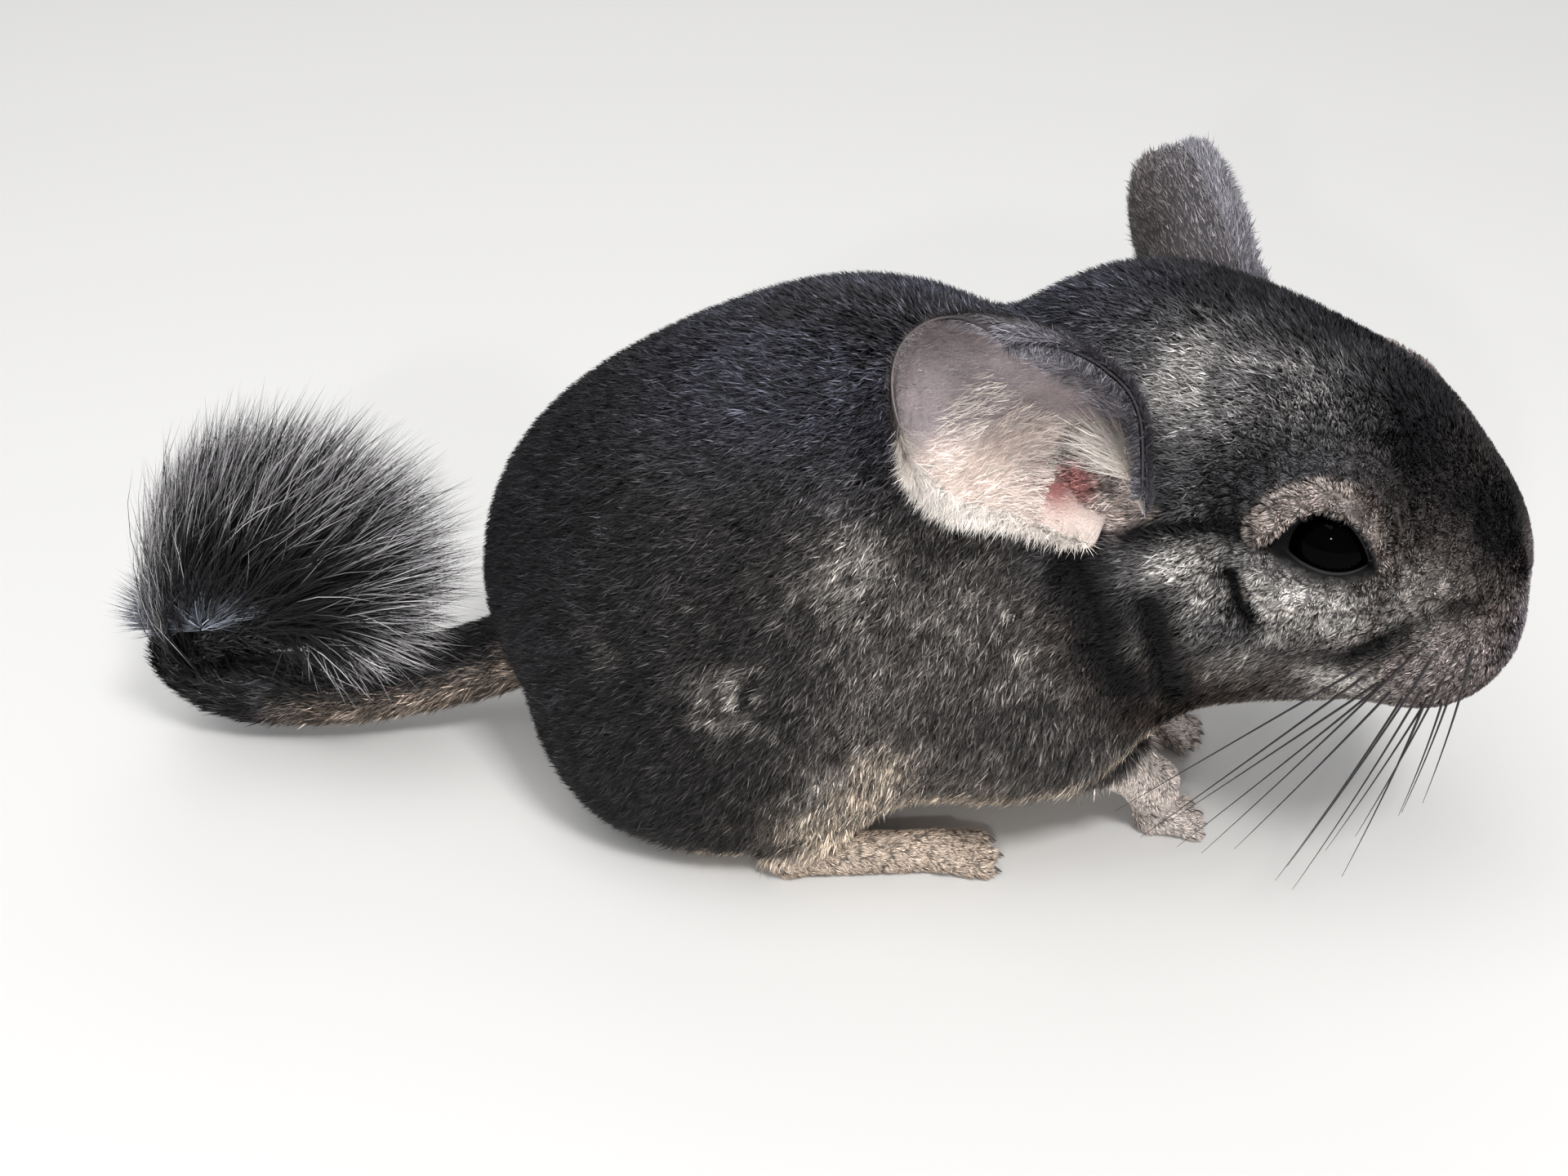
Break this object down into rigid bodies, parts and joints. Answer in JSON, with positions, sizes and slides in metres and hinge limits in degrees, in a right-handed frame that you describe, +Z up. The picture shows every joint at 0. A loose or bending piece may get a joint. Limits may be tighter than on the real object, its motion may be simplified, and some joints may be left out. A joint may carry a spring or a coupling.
{
  "type": "chinchilla",
  "caption": "Life-size still model of a young grey chinchilla, crouching on all four feet with its head turned and its bushy tail curled up behind it.",
  "frame": {"origin": "middle of the bounding box, on the floor", "axes": "+X to the animal's nose, +Y to its left, +Z up"},
  "size_m": [0.2146, 0.0898, 0.1032],
  "materials": {
    "coat": "dense soft fur, charcoal with pale ticking",
    "foot_fur": "short pale fur",
    "ear_skin": "thin, finely haired skin",
    "eye": "wet gloss, nearly black",
    "tail_fur": "short brownish grey fur",
    "brush_fur": "long coarse hair, black with grey-white tips"
  },
  "bodies": {
    "root": {"head": "coat", "neck": "coat", "torso": "coat", "thigh_left": "coat", "shoulder_left": "coat", "hind_foot_left": "foot_fur", "forepaw_left": "foot_fur", "ear_left": "ear_skin", "eye_left": "eye", "thigh_right": "coat", "shoulder_right": "coat", "hind_foot_right": "foot_fur", "forepaw_right": "foot_fur", "ear_right": "ear_skin", "eye_right": "eye", "tail_base": "tail_fur", "tail_middle": "tail_fur", "tail_brush": "brush_fur"}
  },
  "joints": []
}
